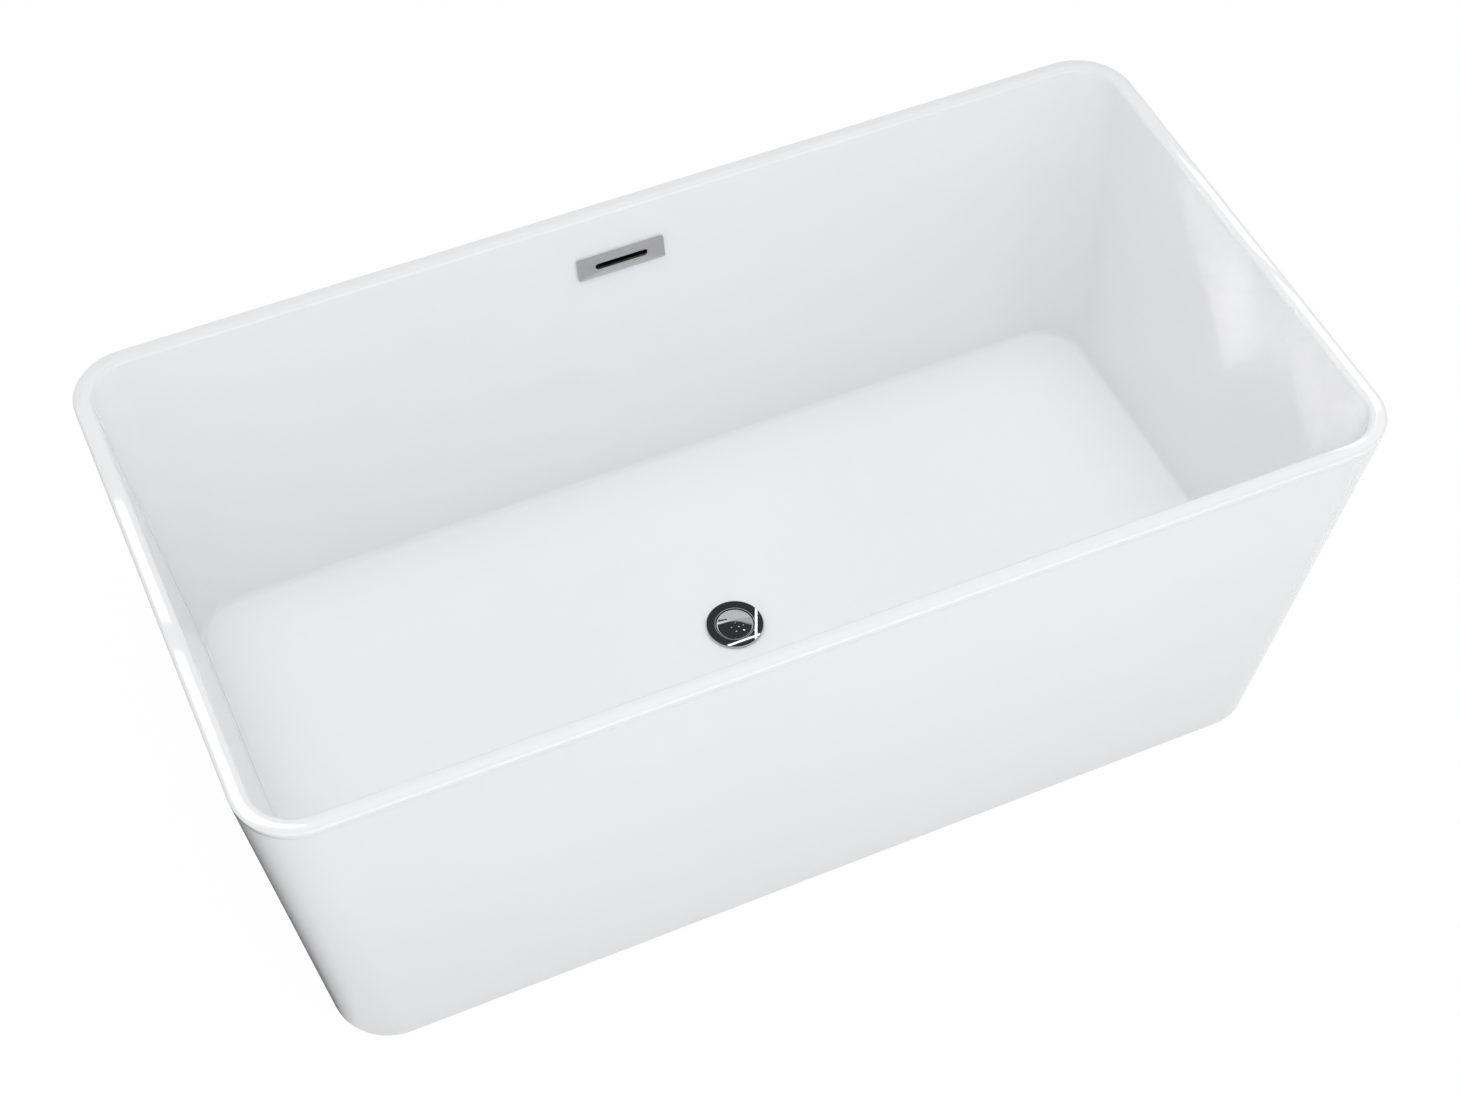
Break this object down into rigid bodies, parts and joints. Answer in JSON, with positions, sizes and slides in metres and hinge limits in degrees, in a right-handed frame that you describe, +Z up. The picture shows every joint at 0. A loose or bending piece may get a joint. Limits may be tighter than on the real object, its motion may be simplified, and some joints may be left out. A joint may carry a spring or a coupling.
{
  "type": "freestanding bathtub",
  "caption": "Rectangular freestanding acrylic bathtub with tapered double walls, thin flat rim, slotted overflow and push-to-open floor drain, on a levelled steel frame.",
  "frame": {"origin": "on the ground under the middle of the rim", "axes": "+X along the tub, +Y towards the wall that holds the overflow, +Z up"},
  "size_m": [1.499, 0.7892, 0.605],
  "materials": {
    "acrylic": "gloss white cast acrylic sheet",
    "fibreglass": "sprayed chopped-strand fibreglass, raw",
    "plywood": "sealed plywood",
    "galvanised": "galvanised steel tube",
    "zinc": "bright zinc-plated steel",
    "pad_rubber": "hard black rubber",
    "seal_rubber": "soft black rubber",
    "chrome": "polished chrome plate",
    "brass": "turned brass",
    "stainless": "stainless steel",
    "black_plastic": "moulded black plastic",
    "hose_plastic": "light grey flexible hose"
  },
  "bodies": {
    "tub": {"basin_shell": "acrylic", "outer_skirt": "acrylic", "basin_backing": "fibreglass", "floor_board": "plywood", "end_crossbar_left": "galvanised", "end_crossbar_right": "galvanised", "inner_crossbar_left": "galvanised", "inner_crossbar_right": "galvanised", "frame_rail_front": "galvanised", "frame_rail_back": "galvanised", "board_screw_front_left": "zinc", "board_screw_front_right": "zinc", "board_screw_back_left": "zinc", "board_screw_back_right": "zinc", "skirt_screw_front_left": "zinc", "skirt_screw_front_right": "zinc", "skirt_screw_back_left": "zinc", "skirt_screw_back_right": "zinc", "foot_locknut_front_left": "zinc", "foot_locknut_front_right": "zinc", "foot_locknut_back_left": "zinc", "foot_locknut_back_right": "zinc", "foot_locknut_middle_left": "zinc", "foot_locknut_middle_right": "zinc", "drain_gasket": "seal_rubber", "drain_washer": "seal_rubber", "tailpiece_seal": "seal_rubber", "overflow_gasket": "seal_rubber", "drain_flange": "chrome", "overflow_cover": "chrome", "stopper_cartridge": "brass", "stopper_spring": "stainless", "overflow_screw_left": "stainless", "overflow_screw_right": "stainless", "hose_clamp_upper": "stainless", "hose_clamp_lower": "stainless", "waste_body": "black_plastic", "tailpiece": "black_plastic", "tailpiece_nut": "black_plastic", "overflow_bezel": "black_plastic", "overflow_body": "black_plastic", "overflow_hose": "hose_plastic"},
    "stopper": {"stopper_cap": "chrome", "stopper_seal": "seal_rubber", "stopper_stem": "brass"},
    "foot_front_left": {"foot_stud_front_left": "zinc", "foot_pad_front_left": "pad_rubber"},
    "foot_front_right": {"foot_stud_front_right": "zinc", "foot_pad_front_right": "pad_rubber"},
    "foot_back_left": {"foot_stud_back_left": "zinc", "foot_pad_back_left": "pad_rubber"},
    "foot_back_right": {"foot_stud_back_right": "zinc", "foot_pad_back_right": "pad_rubber"},
    "foot_middle_left": {"foot_stud_middle_left": "zinc", "foot_pad_middle_left": "pad_rubber"},
    "foot_middle_right": {"foot_stud_middle_right": "zinc", "foot_pad_middle_right": "pad_rubber"}
  },
  "joints": [
    {"name": "stopper_lift", "type": "slide", "parent": "tub", "child": "stopper", "axis": [0, 0, 1], "range_m": [0, 0.01], "deforming": ["stopper_spring"]},
    {"name": "foot_screw_front_left", "type": "slide", "parent": "tub", "child": "foot_front_left", "axis": [0, 0, -1], "range_m": [0, 0.02]},
    {"name": "foot_screw_front_right", "type": "slide", "parent": "tub", "child": "foot_front_right", "axis": [0, 0, -1], "range_m": [0, 0.02]},
    {"name": "foot_screw_back_left", "type": "slide", "parent": "tub", "child": "foot_back_left", "axis": [0, 0, -1], "range_m": [0, 0.02]},
    {"name": "foot_screw_back_right", "type": "slide", "parent": "tub", "child": "foot_back_right", "axis": [0, 0, -1], "range_m": [0, 0.02]},
    {"name": "foot_screw_middle_left", "type": "slide", "parent": "tub", "child": "foot_middle_left", "axis": [0, 0, -1], "range_m": [0, 0.02]},
    {"name": "foot_screw_middle_right", "type": "slide", "parent": "tub", "child": "foot_middle_right", "axis": [0, 0, -1], "range_m": [0, 0.02]}
  ]
}
